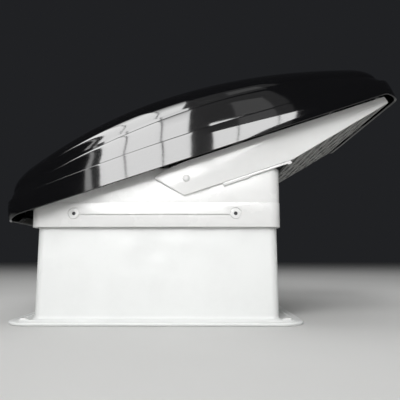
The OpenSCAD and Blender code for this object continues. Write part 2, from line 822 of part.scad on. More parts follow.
module screen_frame() {
    len_x = screen_front + screen_side;
    mid = (screen_front - screen_side) / 2;
    color(SHADE) difference() {
        translate([mid, 0, 0]) prism(len_x, 2 * screen_side, 5, screen_z, screen_z + screen_t);
        translate([mid - 2, 0, 0]) prism(len_x - 52, 2 * screen_side - 52, 5, screen_z - 1, screen_z + screen_t + 1);
        for (x = knob_x, sy = [-1, 1]) translate([x, sy * knob_y, 90]) cylinder(r = 3.4, h = 20);
    }
}

module screen_mesh() {
    len_x = screen_front + screen_side;
    mid = (screen_front - screen_side) / 2 - 2;
    color(STEEL) translate([mid, 0, 0]) prism(len_x - 52, 2 * screen_side - 52, 5, screen_z + 1.5, screen_z + 2.3);
}

module screen_knob(x, y) {
    color(WHITE) {
        translate([x, y, screen_z - 6]) cylinder(r = 9, h = 5.7);
        translate([x - 8, y - 1.5, screen_z - 9]) cube([16, 3, 4]);
        translate([x, y, screen_z - 1]) cylinder(r = 3, h = 14);
    }
}

module screen_knob_1() {
    screen_knob(knob_x[0], -knob_y);
}

module screen_knob_2() {
    screen_knob(knob_x[1], -knob_y);
}

module screen_knob_3() {
    screen_knob(knob_x[1], knob_y);
}

module screen_knob_4() {
    screen_knob(knob_x[0], knob_y);
}

function button_y(i) = (i - 1.5) * button_pitch;

module control_housing() {
    width = panel_x1 - panel_x0;
    mid = (panel_x0 + panel_x1) / 2;
    color(WHITE) difference() {
        translate([panel_x0, -panel_half, panel_z]) cube([width, 2 * panel_half, panel_top - panel_z]);
        translate([panel_x0 + 2, -panel_half + 2, panel_z + 2.5]) cube([width - 4, 2 * panel_half - 4, 40]);
        for (i = [0:3]) translate([mid - button_d / 2 - 0.3, button_y(i) - button_w / 2 - 0.3, panel_z - 1])
            cube([button_d + 0.6, button_w + 0.6, 6]);
    }
}

module control_cover() {
    color(SHADE) translate([panel_x0, -panel_half, panel_top])
        cube([panel_x1 - panel_x0, 2 * panel_half, 2]);
}

module circuit_board() {
    color("seagreen") translate([panel_x0 + 3, -panel_half + 4, panel_z + 16]) union() {
        cube([panel_x1 - panel_x0 - 6, 2 * panel_half - 8, 1.6]);
        for (i = [0:3]) translate([(panel_x1 - panel_x0 - 6) / 2 - 3, button_y(i) + panel_half - 7, -3.4])
            cube([6, 6, 3.4]);
        translate([4, 20, 1.6]) cube([12, 16, 7]);
        translate([4, 150, 1.6]) cube([12, 10, 8]);
    }
}

module fuse_holder() {
    color(BLACK) {
        translate([(panel_x0 + panel_x1) / 2, -86, panel_z - 3]) cylinder(r = 7, h = 3);
    }
}

module button(i) {
    mid = (panel_x0 + panel_x1) / 2;
    color(DARK) {
        translate([mid - button_d / 2, button_y(i) - button_w / 2, panel_z - 1.6])
            cube([button_d, button_w, 6]);
        translate([mid - button_d / 2 - 1.5, button_y(i) - button_w / 2 - 1.5, panel_z + 3])
            cube([button_d + 3, button_w + 3, 1.4]);
        translate([mid - 2, button_y(i) - 2, panel_z + 4]) cube([4, 4, 7.2]);
    }
}

module power_button() {
    button(0);
}

module airflow_button() {
    button(1);
}

module speed_button() {
    button(2);
}

module lid_button() {
    button(3);
}

roof_adapter();
flange_screws();
adapter_gasket();
upper_housing();
housing_side_screws();
throat_ring();
strut_screws();
base_duct();
deck_screws();
motor_strut();
motor_can();
motor_cap();
motor_screws();
hinge_brackets();
hinge_bracket_screws();
hinge_pins();
shield_rivets();
lift_bracket_left();
lift_bracket_right();
lift_bushes();
lift_gearbox();
lift_motor();
screen_frame();
screen_mesh();
control_housing();
control_cover();
circuit_board();
fuse_holder();
motor_shaft();
fan_blades();
hub_clip();
lid_shell();
lid_hinge_leaves();
lid_hinge_screws();
lift_tracks();
lid_front_bracket();
lid_front_screws();
lid_slide_brackets();
shield_side_left();
shield_side_right();
louver_panel();
shield_rails();
shield_tip_pins();
lift_shaft();
lift_arm_left();
lift_arm_right();
sector_gear();
lift_pinion();
roller_left();
roller_right();
screen_knob_1();
screen_knob_2();
screen_knob_3();
screen_knob_4();
power_button();
airflow_button();
speed_button();
lid_button();
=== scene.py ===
"""Looks of a roof vent fan on a tall roof adapter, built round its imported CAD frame.
Lengths of pieces are in millimetres, in the part's own frame; MM turns them into metres. Camera, lights and
mirrored windows are in metres."""

import math

import bmesh
import bpy
import numpy as np
from mathutils import Euler, Matrix, Vector


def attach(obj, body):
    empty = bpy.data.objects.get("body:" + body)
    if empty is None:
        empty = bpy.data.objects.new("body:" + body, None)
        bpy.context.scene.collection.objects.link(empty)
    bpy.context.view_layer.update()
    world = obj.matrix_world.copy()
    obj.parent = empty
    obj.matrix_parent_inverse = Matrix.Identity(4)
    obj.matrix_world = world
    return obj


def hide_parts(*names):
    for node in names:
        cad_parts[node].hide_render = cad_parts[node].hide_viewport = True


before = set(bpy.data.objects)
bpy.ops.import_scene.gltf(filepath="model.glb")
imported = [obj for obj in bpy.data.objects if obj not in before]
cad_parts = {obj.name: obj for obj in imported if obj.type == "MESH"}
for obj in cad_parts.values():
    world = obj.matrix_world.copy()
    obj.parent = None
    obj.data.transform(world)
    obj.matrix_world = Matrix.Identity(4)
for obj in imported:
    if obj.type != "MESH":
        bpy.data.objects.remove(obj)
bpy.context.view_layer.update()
scene = bpy.context.scene
MM = 0.001

# ---------------------------------------------------------------- camera

lens = bpy.data.cameras.new("camera")
camera = bpy.data.objects.new("camera", lens)
scene.collection.objects.link(camera)
scene.camera = camera
lens.sensor_width = 36
lens.lens = 44.21
lens.shift_y = -0.0025
camera.location = (0.06957, -0.90203, 0.09424)
camera.rotation_euler = Euler((math.radians(96.79), 0, math.radians(0.48)))
lens.clip_start, lens.clip_end = 0.02, 60


# ---------------------------------------------------------------- materials

class Nodes:
    """A short way to write a node tree."""

    def __init__(self, name):
        self.material = bpy.data.materials.new(name)
        self.material.use_nodes = True
        self.tree = self.material.node_tree
        self.tree.nodes.clear()
        self.coords = self.make("ShaderNodeTexCoord").outputs["Object"]

    def make(self, kind, inputs=None, **settings):
        node = self.tree.nodes.new(kind)
        for key, value in settings.items():
            setattr(node, key, value)
        for key, value in (inputs or {}).items():
            if isinstance(value, bpy.types.NodeSocket):
                self.tree.links.new(value, node.inputs[key])
            else:
                node.inputs[key].default_value = value
        return node

    def noise(self, scale, detail=3, stretch=(1, 1, 1), rough=0.5):
        place = self.make("ShaderNodeMapping", {"Vector": self.coords, "Scale": stretch})
        return self.make("ShaderNodeTexNoise", {
            "Vector": place.outputs[0], "Scale": scale, "Detail": detail, "Roughness": rough}).outputs["Fac"]

    def between(self, fac, low, high, at=(0.35, 0.65)):
        """Colour or grey that goes from low to high as fac goes over its middle."""
        ramp = self.make("ShaderNodeValToRGB", {"Fac": fac})
        for stop, place, value in zip(ramp.color_ramp.elements, at, (low, high)):
            stop.position = place
            stop.color = (*value, 1) if isinstance(value, tuple) else (value, value, value, 1)
        return ramp.outputs["Color"]

    def bump(self, height, strength, distance, normal=None):
        inputs = {"Height": height, "Strength": strength, "Distance": distance}
        if normal:
            inputs["Normal"] = normal
        return self.make("ShaderNodeBump", inputs).outputs["Normal"]

    def done(self, **inputs):
        shader = self.make("ShaderNodeBsdfPrincipled", {k.replace("_", " "): v for k, v in inputs.items()})
        self.make("ShaderNodeOutputMaterial", {"Surface": shader.outputs["BSDF"]})
        return self.material


def plastic(name, colour, rough, grain=900, grain_depth=0.00002, coat=0.0, shift=0.03, dirt=0.0, wave=0.0):
    """Moulded plastic: a little colour drift, uneven gloss, fine grain and slight long waves."""
    n = Nodes(name)
    drift = n.between(n.noise(7, 2), tuple(c * (1 - shift) for c in colour), colour)
    if dirt:
        dust = n.between(n.noise(24, 5, rough=0.65), 1 - dirt, 1.0, (0.36, 0.52))
        drift = n.make("ShaderNodeMix", {6: drift, 7: dust, 0: 1.0}, data_type="RGBA",
                       blend_type="MULTIPLY").outputs[2]
    gloss = n.between(n.noise(35, 4), rough * 0.85, min(1, rough * 1.2))
    normal = n.bump(n.noise(grain, 2), 0.5, grain_depth)
    if wave:
        normal = n.bump(n.noise(11, 1, (1, 1, 0.45)), 1.0, wave, normal)
    return n.done(Base_Color=drift, Roughness=gloss, Normal=normal, Coat_Weight=coat,
                  Coat_Roughness=0.04, IOR=1.49)


def metal(name, colour, rough, brushed=(1, 1, 1), flake=0.0):
    n = Nodes(name)
    tint = n.between(n.noise(60, 4), tuple(c * 0.86 for c in colour), colour)
    if flake:
        cells = n.make("ShaderNodeTexVoronoi", {"Vector": n.coords, "Scale": 700.0}).outputs["Color"]
        tint = n.make("ShaderNodeMix", {6: tint, 7: cells, 0: flake}, data_type="RGBA",
                      blend_type="SOFT_LIGHT").outputs[2]
    gloss = n.between(n.noise(220, 3, brushed), rough * 0.75, min(1, rough * 1.3))
    normal = n.bump(n.noise(1400, 2, brushed), 0.25, 0.00003)
    return n.done(Base_Color=tint, Roughness=gloss, Metallic=1.0, Normal=normal)


def rubber(name):
    n = Nodes(name)
    tint = n.between(n.noise(90, 5), (0.035, 0.035, 0.036), (0.06, 0.06, 0.06))
    return n.done(Base_Color=tint, Roughness=n.between(n.noise(300, 3), 0.7, 0.95),
                  Normal=n.bump(n.noise(1500, 3), 0.6, 0.00006))


def board(name):
    n = Nodes(name)
    tracks = n.make("ShaderNodeTexBrick", {
        "Vector": n.coords, "Scale": 180.0, "Color1": (0.02, 0.16, 0.06, 1), "Color2": (0.015, 0.13, 0.05, 1),
        "Mortar": (0.05, 0.26, 0.1, 1), "Mortar Size": 0.03}).outputs["Color"]
    return n.done(Base_Color=tracks, Roughness=0.35, Normal=n.bump(n.noise(900, 2), 0.3, 0.00003), Coat_Weight=0.4)


WHITE = (0.83, 0.83, 0.82)
MATERIALS = {
    "adapter_white": plastic("adapter_white", (0.80, 0.81, 0.80), 0.5, 700, 0.00003, dirt=0.02, wave=0.00003),
    "housing_white": plastic("housing_white", WHITE, 0.24, coat=0.3, dirt=0.025, wave=0.00006),
    "lid_black": plastic("lid_black", (0.004, 0.004, 0.0045), 0.045, 1500, 0.000001, coat=0.5, wave=0.000035),
    "shield_white": plastic("shield_white", WHITE, 0.22, coat=0.3, dirt=0.02, wave=0.00005),
    "louver_grey": plastic("louver_grey", (0.34, 0.34, 0.33), 0.45, dirt=0.08),
    "inner_white": plastic("inner_white", (0.72, 0.72, 0.70), 0.38, 600, 0.00004, dirt=0.06),
    "fan_grey": plastic("fan_grey", (0.5, 0.51, 0.51), 0.35, dirt=0.08),
    "gear_nylon": plastic("gear_nylon", (0.7, 0.68, 0.6), 0.4, dirt=0.05),
    "zinc_steel": metal("zinc_steel", (0.66, 0.66, 0.64), 0.3, flake=0.25),
    "dark_metal": metal("dark_metal", (0.12, 0.12, 0.125), 0.45),
    "motor_steel": metal("motor_steel", (0.55, 0.55, 0.55), 0.32, (1, 1, 8)),
    "white_cap": plastic("white_cap", WHITE, 0.28, coat=0.2),
    "gasket_rubber": rubber("gasket_rubber"),
    "screen_aluminium": metal("screen_aluminium", (0.6, 0.6, 0.6), 0.35),
    "board_green": board("board_green"),
    "button_grey": plastic("button_grey", (0.22, 0.225, 0.23), 0.5, 500, 0.00005),
}

# ---------------------------------------------------------------- mesh helpers


def ring_points(w, d, r, steps=8, along=()):
    """A rounded rectangle, anticlockwise from +X. along places more points on its sides that run along X."""
    out = []
    along = sorted(along, reverse=True)
    sides = [[(x, d / 2) for x in along], [], [(x, -d / 2) for x in reversed(along)], []]
    for quarter, (sx, sy) in enumerate([(1, 1), (-1, 1), (-1, -1), (1, -1)]):
        for i in range(steps + 1):
            a = math.radians(90 * (quarter + i / steps))
            out.append((sx * (w / 2 - r) + r * math.cos(a), sy * (d / 2 - r) + r * math.sin(a)))
        out += sides[quarter]
    return out


def stitch(rows, closed):
    """Quads between rows of points that all have the same count; closed joins the last row to the first."""
    n = len(rows[0])
    pairs = range(len(rows) if closed else len(rows) - 1)
    faces = [(k * n + i, k * n + (i + 1) % n, (k + 1) % len(rows) * n + (i + 1) % n, (k + 1) % len(rows) * n + i)
             for k in pairs for i in range(n)]
    return [p for row in rows for p in row], faces


def loft(rows):
    """A solid through rows of points, with a flat cap at each end."""
    points, faces = stitch(rows, False)
    n = len(rows[0])
    faces += [tuple(reversed(range(n))), tuple(range((len(rows) - 1) * n, len(rows) * n))]
    return points, faces


def prism_y(outline, y0, y1):
    """A solid whose outline is in the X-Z plane."""
    return loft([[(x, y, z) for x, z in outline] for y in (y0, y1)])


def turned(profile, origin, axis="z", steps=32, closed=False):
    """A solid of revolution from (radius, along) pairs: closed makes a ring of them, or caps close the two ends."""
    rows = [[(r * math.cos(a), r * math.sin(a), h) for a in np.linspace(0, 2 * math.pi, steps, endpoint=False)]
            for r, h in profile]
    turn = {"z": Matrix.Identity(3), "y": Matrix.Rotation(math.radians(-90), 3, "X")}[axis]
    points, faces = stitch(rows, True) if closed else loft(rows)
    return [tuple(turn @ Vector(p) + Vector(origin)) for p in points], faces


def together(*solids):
    points, faces = [], []
    for p, f in solids:
        faces += [tuple(i + len(points) for i in face) for face in f]
        points += list(p)
    return points, faces


def mirrored(solid):
    return [(x, -y, z) for x, y, z in solid[0]], [tuple(reversed(f)) for f in solid[1]]


def both(solid):
    return together(solid, mirrored(solid))


def fillet(outline, radii, steps=5):
    """Rounds the corners of a 2-D outline."""
    out, n = [], len(outline)
    for i, (p, r) in enumerate(zip(outline, radii)):
        p = Vector(p)
        a, b = (Vector(outline[i - 1]) - p).normalized(), (Vector(outline[(i + 1) % n]) - p).normalized()
        half = a.angle(b) / 2
        if not r:
            out.append(tuple(p))
            continue
        run, centre = r / math.tan(half), p + (a + b).normalized() * r / math.sin(half)
        start, end = p + a * run - centre, p + b * run - centre
        turn = start.angle_signed(end)
        for k in range(steps + 1):
            c, s = math.cos(-turn * k / steps), math.sin(-turn * k / steps)
            out.append((centre.x + start.x * c - start.y * s, centre.y + start.x * s + start.y * c))
    return out


def raw_object(name, solid):
    """A mesh object from a solid in millimetres, with its seams welded and its faces turned outwards."""
    mesh = bpy.data.meshes.new(name)
    mesh.from_pydata([tuple(c * MM for c in p) for p in solid[0]], [], solid[1])
    bm = bmesh.new()
    bm.from_mesh(mesh)
    bmesh.ops.remove_doubles(bm, verts=bm.verts, dist=1e-7)
    bmesh.ops.recalc_face_normals(bm, faces=bm.faces)
    bm.to_mesh(mesh)
    bm.free()
    made = bpy.data.objects.new(name, mesh)
    scene.collection.objects.link(made)
    return made


def settle(obj):
    """Applies every modifier."""
    graph = bpy.context.evaluated_depsgraph_get()
    mesh = bpy.data.meshes.new_from_object(obj.evaluated_get(graph))
    obj.modifiers.clear()
    obj.data = mesh


def carve(obj, cutter, operation="DIFFERENCE"):
    tool = raw_object("tool", cutter)
    change = obj.modifiers.new("cut", "BOOLEAN")
    change.operation, change.solver, change.object = operation, "EXACT", tool
    settle(obj)
    bpy.data.objects.remove(tool)


def piece(name, solid, body, slot, stands_for=(), bevel=0.0, segments=2, sharp=35, cuts=(), adds=()):
    """One visible piece: it rides on a body, and hides the CAD nodes that it stands for."""
    made = raw_object(name, solid)
    for extra in adds:
        carve(made, extra, "UNION")
    for cutter in cuts:
        carve(made, cutter)
    if bevel:
        edge = made.modifiers.new("edge", "BEVEL")
        edge.width, edge.segments, edge.limit_method = bevel * MM, segments, "ANGLE"
        edge.angle_limit = math.radians(40)
        settle(made)
    made.data.shade_smooth()
    made.data.set_sharp_from_angle(angle=math.radians(sharp))
    made.data.materials.clear()
    made.data.materials.append(MATERIALS[slot])
    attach(made, body)
    if stands_for:
        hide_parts(*stands_for)


def spline(rows, count):
    """count rows on a smooth curve through the given rows of numbers."""
    rows = np.array(rows, float)
    slope = np.gradient(rows, axis=0)
    out = []
    for t in np.linspace(0, len(rows) - 1, count):
        i = min(int(t), len(rows) - 2)
        u = t - i
        out.append((2 * u**3 - 3 * u**2 + 1) * rows[i] + (u**3 - 2 * u**2 + u) * slope[i]
                   + (3 * u**2 - 2 * u**3) * rows[i + 1] + (u**3 - u**2) * slope[i + 1])
    return [tuple(r) for r in out]


# ---------------------------------------------------------------- lid

# Where the lid's own frame stands when it is open, how far the lid reaches in it, and its height at the shoulder
LID_X, LID_Z, LID_TILT = -208.23, 152.11, math.radians(18.25)
LID_REAR, LID_FRONT, LID_HALF, LID_TOP = 9, 593.5, 209.5, 109


def from_lid(s, y, h):
    """A point of the lid's own frame (s along its side edge, h up from it) in the row frame."""
    c, t = math.cos(LID_TILT), math.sin(LID_TILT)
    return LID_X + s * c - h * t, y, LID_Z + s * t + h * c


def bow(s, peak, rear, front, top):
    """A height that rises from rear and front, at the lid's two ends, to top at s = peak."""
    half, end = (peak + LID_REAR, rear) if s < peak else (LID_FRONT - peak, front)
    return end + (top - end) * (1 - ((s - peak) / half) ** 2)


def levels(s):
    """Heights of the lower edge, the two steps and the shoulder, and the rise of the crown."""
    edge = -3.4 * max(0, 1 - (s + LID_REAR) / 20) - 11 * max(0, 1 - (LID_FRONT - s) / 20)
    shoulder = bow(s, 265, 50.4, 45, LID_TOP)
    return edge, bow(s, 270, 23, 21, 36), bow(s, 315, 29, 23, 71.5), shoulder, \
        shoulder + 9 * (shoulder - 45) / (LID_TOP - 45)


def lid_ring(rear, front, side, r, level, bulge=0.0, drop=0.0):
    """One ring round the lid, inset by rear, front and side, at a level from 0, the edge, to 4, the crown."""
    s0, s1, b = rear - LID_REAR, LID_FRONT - front, LID_HALF - side
    r = min(r, b - 0.2)

    def end(y):
        return bulge * (1 - (y / b) ** 2)
    half = [(s0 - end(y), y) for y in np.linspace(0, b - r, 7)[:-1]]
    for a in np.linspace(0, math.pi / 2, 13)[:-1]:
        y = b - r + r * math.sin(a)
        half.append((s0 + r - r * math.cos(a) - end(y), y))
    half += [(s, b) for s in np.linspace(s0 + r, s1 - r, 61)]
    for a in np.linspace(0, math.pi / 2, 13)[1:]:
        y = b - r + r * math.cos(a)
        half.append((s1 - r + r * math.sin(a) + end(y), y))
    half += [(s1 + end(y), y) for y in np.linspace(b - r, 0, 7)[1:]]
    level = min(level, 3.9999)
    low = int(level)
    row = []
    for s, y in half + [(s, -y) for s, y in half[-2:0:-1]]:
        h = levels(s)
        row.append((s, y, h[low] + (level - low) * (h[low + 1] - h[low]) - drop))
    return row


def lid_strip(rows):
    """The face that closes a very narrow last ring."""
    n = len(rows[0])
    base, half = (len(rows) - 1) * n, n // 2
    faces = [(base, base + 1, base + n - 1)]
    faces += [(base + i, base + i + 1, base + n - i - 1, base + n - i) for i in range(1, half - 1)]
    return faces + [(base + half - 1, base + half, base + half + 1)]


def lid_rows():
    """The outside, from the lower edge to the crown. Each row is what lid_ring takes."""
    rows = [(1.2, 1.2, 1.2, 30, 0.0, 0, 1.0), (0.3, 0.3, 0.3, 30, 0.0, 0, 0.4)]
    for t in np.linspace(0, 1, 9):
        rows.append((3.7 * t**2, 2.6 * t**2, 3.1 * t**2, 30, max(0.955 * t, 1e-4), 0, 0))
    rows += [(3.8, 2.8, 3.35, 30, 0.975, 0, 0), (4.0, 3.2, 3.8, 30, 0.99, 0, 0), (4.4, 3.8, 4.5, 30, 0.998, 0, 0),
             (4.9, 4.5, 5.3, 30, 1.0, 0, 0), (6.0, 5.5, 6.0, 30, 1.001, 0, 0)]
    for t in np.linspace(0, 1, 9):
        rows.append((6.1 + 2.3 * t**2, 5.8 + 2 * t**2, 6.4 + 3.4 * t + 3.0 * t**2, 30, 1.012 + 0.946 * t, 0, 0))
    rows += [(8.5, 7.9, 13.1, 30, 1.976, 0, 0), (8.9, 8.3, 13.6, 30, 1.99, 0, 0), (9.4, 8.9, 14.2, 30, 1.998, 0, 0),
             (10.1, 9.5, 14.9, 30, 2.001, 0, 0), (11.3, 10.3, 15.5, 30, 2.003, 0, 0)]
    dome = []
    for a in np.radians([0, 15, 30, 45, 60, 75]):
        k = 1 - math.cos(a)
        dome.append((11.5 + 7.5 * k, 10.5 + 4.5 * k, 15.7 + 34 * k, 30 + 14 * k, 2.03 + 0.97 * math.sin(a), k, 0))
    dome += [(20, 16, 51, 46, 3.02, 1.5, 0), (50, 45, 92, 60, 3.58, 8, 0), (110, 110, 150, 50, 3.93, 26, 0),
             (170, 170, 204, 5, 3.999, 10, 0)]
    return rows + spline(dome, 40)


def lid_lining():
    """The inside, the wall's thickness below the outside."""
    rows = [(3, 3, 3, 27, 0, 0, 0), (4.5, 4.5, 5, 27, 0.6, 0, 0), (9.5, 9, 9.6, 27, 1.3, 0, 0),
            (13, 12.5, 15, 27, 2.0, 0, 0), (15, 14, 19, 29, 2.38, 0, 1), (16, 15, 25.5, 33, 2.7, 0, 2),
            (18, 16, 36.5, 37, 2.9, 0.4, 2.6), (24, 20, 54, 42, 3.03, 1.5, 3), (53, 48, 94, 57, 3.58, 8, 3),
            (113, 113, 152, 47, 3.93, 26, 3), (172, 172, 205, 4, 3.999, 10, 3)]
    return spline(rows, 34)


def lid_solid():
    """Outside and inside joined round the lower edge, each closed at the crown by a strip."""
    outer = [lid_ring(*row) for row in lid_rows()]
    lining = [lid_ring(*row) for row in lid_lining()]
    rows = outer[::-1] + lining
    points, faces = stitch(rows, False)
    n = len(rows[0])
    faces += lid_strip(rows)
    half = n // 2
    faces += [(0, n - 1, 1)] + [(i, n - i, n - i - 1, i + 1) for i in range(1, half - 1)] + [(half - 1, half + 1, half)]
    return [from_lid(*p) for p in points], faces


piece("lid_dome", lid_solid(), "lid", "lid_black", ["lid_shell"], sharp=32)

# ---------------------------------------------------------------- roof adapter

FLANGE, RISER_FOOT, RISER_TOP = 424, 357.6, 354.4


def square(w, r, z, cx=0.0):
    return [(x + cx, y, z) for x, y in ring_points(w, w, r)]


def adapter_solid():
    rows = [square(RISER_FOOT - 9, 7.5, 0)]
    for a in np.radians(np.linspace(-90, 90, 9)):
        inset = 2.6 * (1 - math.cos(a))
        rows.append(square(FLANGE - 2 * inset, 35 - inset, 2.6 + 2.6 * math.sin(a)))
    for inset, z in [(11.2, 5.2), (11.9, 5.7), (12.2, 6.5), (12.8, 6.8), (13.5, 6.8), (14.1, 6.5), (14.4, 5.7),
                     (15.1, 5.2)]:
        rows.append(square(FLANGE - 2 * inset, 35 - inset, z))
    for a in np.radians(np.linspace(0, 90, 6)):
        out = 5 * (1 - math.sin(a))
        rows.append(square(RISER_FOOT + 2 * out, 12 + out, 5.2 + 5 * (1 - math.cos(a))))
    for w, r, z in [(RISER_TOP, 12, 169.2), (RISER_TOP - 0.6, 11.7, 169.8), (RISER_TOP - 1.8, 11, 170),
                    (RISER_TOP - 9, 7.5, 170), (RISER_TOP - 10, 7, 169.5), (RISER_FOOT - 10, 7, 0.5)]:
        rows.append(square(w, r, z))
    return stitch(rows, True)


def four(make):
    return together(*[make(sx, sy) for sx in (-1, 1) for sy in (-1, 1)])


adapter_bosses = four(lambda sx, sy: turned(
    [(8.6, 4), (8.2, 5.4), (8, 6.2), (7.6, 6.65), (7, 6.8)], (188 * sx, 188 * sy, 0)))
roof_holes = together(*[turned([(2.75, -2), (2.75, 9)], (x * sx, y * sy, 0), steps=24)
                        for x, y in ((120, 197), (197, 120)) for sx in (-1, 1) for sy in (-1, 1)],
                      four(lambda sx, sy: turned([(2.3, -2), (2.3, 9)], (188 * sx, 188 * sy, 0), steps=24)))
piece("adapter_body", adapter_solid(), "base", "adapter_white", ["roof_adapter"],
      adds=[adapter_bosses], cuts=[roof_holes], sharp=40)

# ---------------------------------------------------------------- housing

HOUSING, HOUSING_X = 368.8, -1.8
# Height of the rim along X
RIM = ([-400, -186.2, -150, -40, 0, 400], [178, 181, 190, 222, 225.7, 225.7])
SCREW_X, SCREW_Z = (-122, 116), 158.5


def housing_row(w, r, z, rim=None):
    """A ring of the housing at height z, or at the sloping rim plus the number rim."""
    flat = ring_points(w, w, r, 8, along=[-150 - HOUSING_X, -95, -40 - HOUSING_X, -20, -HOUSING_X, 80])
    return [(x + HOUSING_X, y, z if rim is None else float(np.interp(x + HOUSING_X, *RIM)) + rim) for x, y in flat]


def housing_solid():
    w, inner = HOUSING, HOUSING - 6
    rows = [housing_row(w - 1.6, 15.2, 138.7), housing_row(w - 0.5, 15.8, 138.95), housing_row(w, 16, 139.5),
            housing_row(w, 16, 174.2), housing_row(w - 0.3, 15.9, 174.6), housing_row(w - 1.2, 15.4, 174.8),
            housing_row(w - 1.2, 15.4, 0, -1.2), housing_row(w - 1.7, 15.2, 0, -0.4), housing_row(w - 2.6, 14.7, 0, 0),
            housing_row(inner + 1.4, 13.7, 0, 0), housing_row(inner + 0.4, 13.2, 0, -0.3),
            housing_row(inner, 13, 0, -0.9), housing_row(inner, 13, 177.6), housing_row(inner - 0.9, 12.5, 176.4),
            housing_row(inner - 3, 11.5, 176)]
    hole = []
    for x, y, _ in rows[-1]:
        a = math.atan2(y, x)
        hole.append((158 * math.cos(a), 158 * math.sin(a)))
    rows += [[(x, y, 176) for x, y in hole], [(x, y, 173) for x, y in hole],
             housing_row(inner, 13, 173), housing_row(inner, 13, 139.4), housing_row(inner + 1, 13.5, 138.7)]
    return stitch(rows, True)


def at_screws(make):
    return both(together(*[make((x, 0, SCREW_Z)) for x in SCREW_X]))


side_bosses = at_screws(lambda p: turned(
    [(7.7, 181.9), (7.7, 184.4), (7.5, 184.6), (7.1, 184.75), (6.6, 184.8)], p, "y", 40))
side_moats = at_screws(lambda p: turned([(7.7, 183.2), (8.6, 183.2), (8.9, 187), (7.7, 187)], p, "y", 40, closed=True))
side_holes = at_screws(lambda p: turned([(2.05, 170), (2.05, 180.9), (2.7, 180.9), (2.7, 184.4), (3.2, 186)], p, "y"))
groove = both(prism_y([(SCREW_X[0] + 8.3, 156.2), (SCREW_X[1] - 8.3, 156.2), (SCREW_X[1] - 8.3, 157.4),
                       (SCREW_X[0] + 8.3, 157.4)], 181.9, 186))
piece("housing_shell", housing_solid(), "base", "housing_white", ["upper_housing"],
      adds=[side_bosses], cuts=[side_moats, groove, side_holes], sharp=40)
# The screw heads are dark metal instead of zinc so that they read as the shade deep in their recessed holes: painted
# shade.
side_screws = at_screws(lambda p: turned(
    [(2, 171), (2, 181), (2.6, 181), (2.55, 181.9), (2.0, 182.5), (1.2, 182.7), (1.1, 181.6), (0.5, 181.4)],
    p, "y", 24))
piece("side_screw_set", side_screws, "base", "dark_metal", ["housing_side_screws"])

# ---------------------------------------------------------------- rain shield

SHIELD_IN, SHIELD_T = 185.4, 2.6
PIVOT, TIP, KINK, LOW, REAR_TIP = (43.2, 210.2), (345.5, 324.2), (200, 237.8), (40.4, 184.6), (-5.3, 210.4)


def lid_xz(s, h):
    """Where a point of the lid is in the X-Z plane."""
    p = from_lid(s, 0, h)
    return p[0], p[2]


shield_outline = fillet([REAR_TIP, LOW, KINK, TIP, lid_xz(577, 1), lid_xz(262, 1), lid_xz(229, -2)],
                        [2.5, 3, 12, 2, 2, 0, 4])
shield_plate = prism_y(shield_outline, SHIELD_IN, SHIELD_IN + SHIELD_T)
piece("shield_plate_right", shield_plate, "shield", "shield_white", ["shield_side_right"], bevel=0.7, segments=3)
piece("shield_plate_left", mirrored(shield_plate), "shield", "shield_white", ["shield_side_left"],
      bevel=0.7, segments=3)

# Shank, the two washers and the rounded head
rivet = together(*[turned(profile, (PIVOT[0], 0, PIVOT[1]), "y") for profile in (
    [(3, 178.6), (3, 188.3)],
    [(6, 183.9), (6, 185.1)],
    [(6, 178.8), (6, 181.4)],
    [(5.0, 188.3), (5.2, 188.5), (5.1, 189.0), (4.6, 189.6), (3.6, 190.1), (2.2, 190.5), (0.6, 190.7)])])
piece("pivot_rivets", both(rivet), "base", "white_cap", ["shield_rivets"])

edge_dir = (Vector(KINK) - Vector(LOW)).normalized()
edge_down = Vector((edge_dir.y, -edge_dir.x))
edge_length = (Vector(KINK) - Vector(LOW)).length


def on_edge(along, down):
    """A point on the plate's lower edge, from its low corner, and that far below it."""
    p = Vector(LOW) + edge_dir * along + edge_down * down
    return p.x, p.y


rail_outline = fillet([on_edge(60, 0.2), on_edge(60, 5), on_edge(98, 5), on_edge(104, 3.6),
                       on_edge(edge_length - 9, 3.6), on_edge(edge_length - 7, 5), on_edge(edge_length - 2, 5),
                       on_edge(edge_length - 2, 0.2)], [0, 1, 0, 0, 0, 1, 1.6, 1.6])
piece("shield_rail_strips", both(prism_y(rail_outline, SHIELD_IN - 0.4, SHIELD_IN + 1.8)), "shield", "shield_white",
      ["shield_rails"], bevel=0.4)

# Louvred panel: a pierced plate with a thin sloping hood over every slot, on its inner side
SLOPE = math.atan2(TIP[1] - KINK[1], TIP[0] - KINK[0])
PANEL_LONG = math.hypot(TIP[1] - KINK[1], TIP[0] - KINK[0])


def on_panel(u, y, v):
    """u runs up the slope from the kink, and v to the inner side."""
    return KINK[0] + u * math.cos(SLOPE) - v * math.sin(SLOPE), y, KINK[1] + u * math.sin(SLOPE) + v * math.cos(SLOPE)


def pierced(us, ys, open_cell, v0, v1):
    """A plate on a grid, without the cells that open_cell names, with walls round every opening."""
    points, faces, index = [], [], {}

    def at(i, j, v):
        if (i, j, v) not in index:
            index[i, j, v] = len(points)
            points.append((us[i], ys[j], v))
        return index[i, j, v]

    def solid(i, j):
        return 0 <= i < len(us) - 1 and 0 <= j < len(ys) - 1 and not open_cell(i, j)
    for i in range(len(us) - 1):
        for j in range(len(ys) - 1):
            if not solid(i, j):
                continue
            corners = [(i, j), (i + 1, j), (i + 1, j + 1), (i, j + 1)]
            faces.append(tuple(at(*c, v1) for c in corners))
            faces.append(tuple(at(*c, v0) for c in reversed(corners)))
            for k, (di, dj) in enumerate([(0, -1), (1, 0), (0, 1), (-1, 0)]):
                if not solid(i + di, j + dj):
                    a, b = corners[k], corners[(k + 1) % 4]
                    faces.append((at(*a, v0), at(*b, v0), at(*b, v1), at(*a, v1)))
    return points, faces


